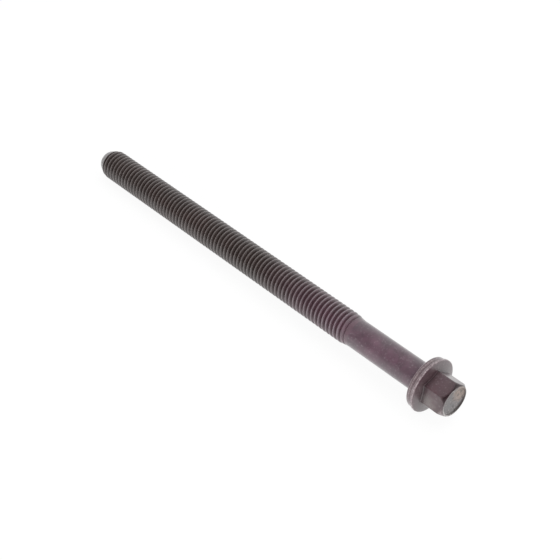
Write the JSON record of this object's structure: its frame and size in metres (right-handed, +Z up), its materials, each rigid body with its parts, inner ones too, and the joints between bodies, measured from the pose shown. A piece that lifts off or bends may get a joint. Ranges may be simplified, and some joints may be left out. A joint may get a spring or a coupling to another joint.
{
  "type": "cylinder head bolt",
  "caption": "Long flanged hexagon bolt with a dished head, a plain shank and a long rolled thread, for clamping a cylinder head to its block.",
  "frame": {"origin": "on the floor under the middle of the bolt's length, midway between its sides", "axes": "+X towards the head's top, in the level direction of the axis, which rises by 1.4 degrees towards the head; +Z up"},
  "size_m": [0.1952, 0.0212, 0.0212],
  "materials": {
    "bolt": "manganese phosphate coating with oil on heat-treated alloy steel, dark grey with a purple-brown cast, satin"
  },
  "bodies": {
    "root": {"bolt": "bolt"}
  },
  "joints": []
}
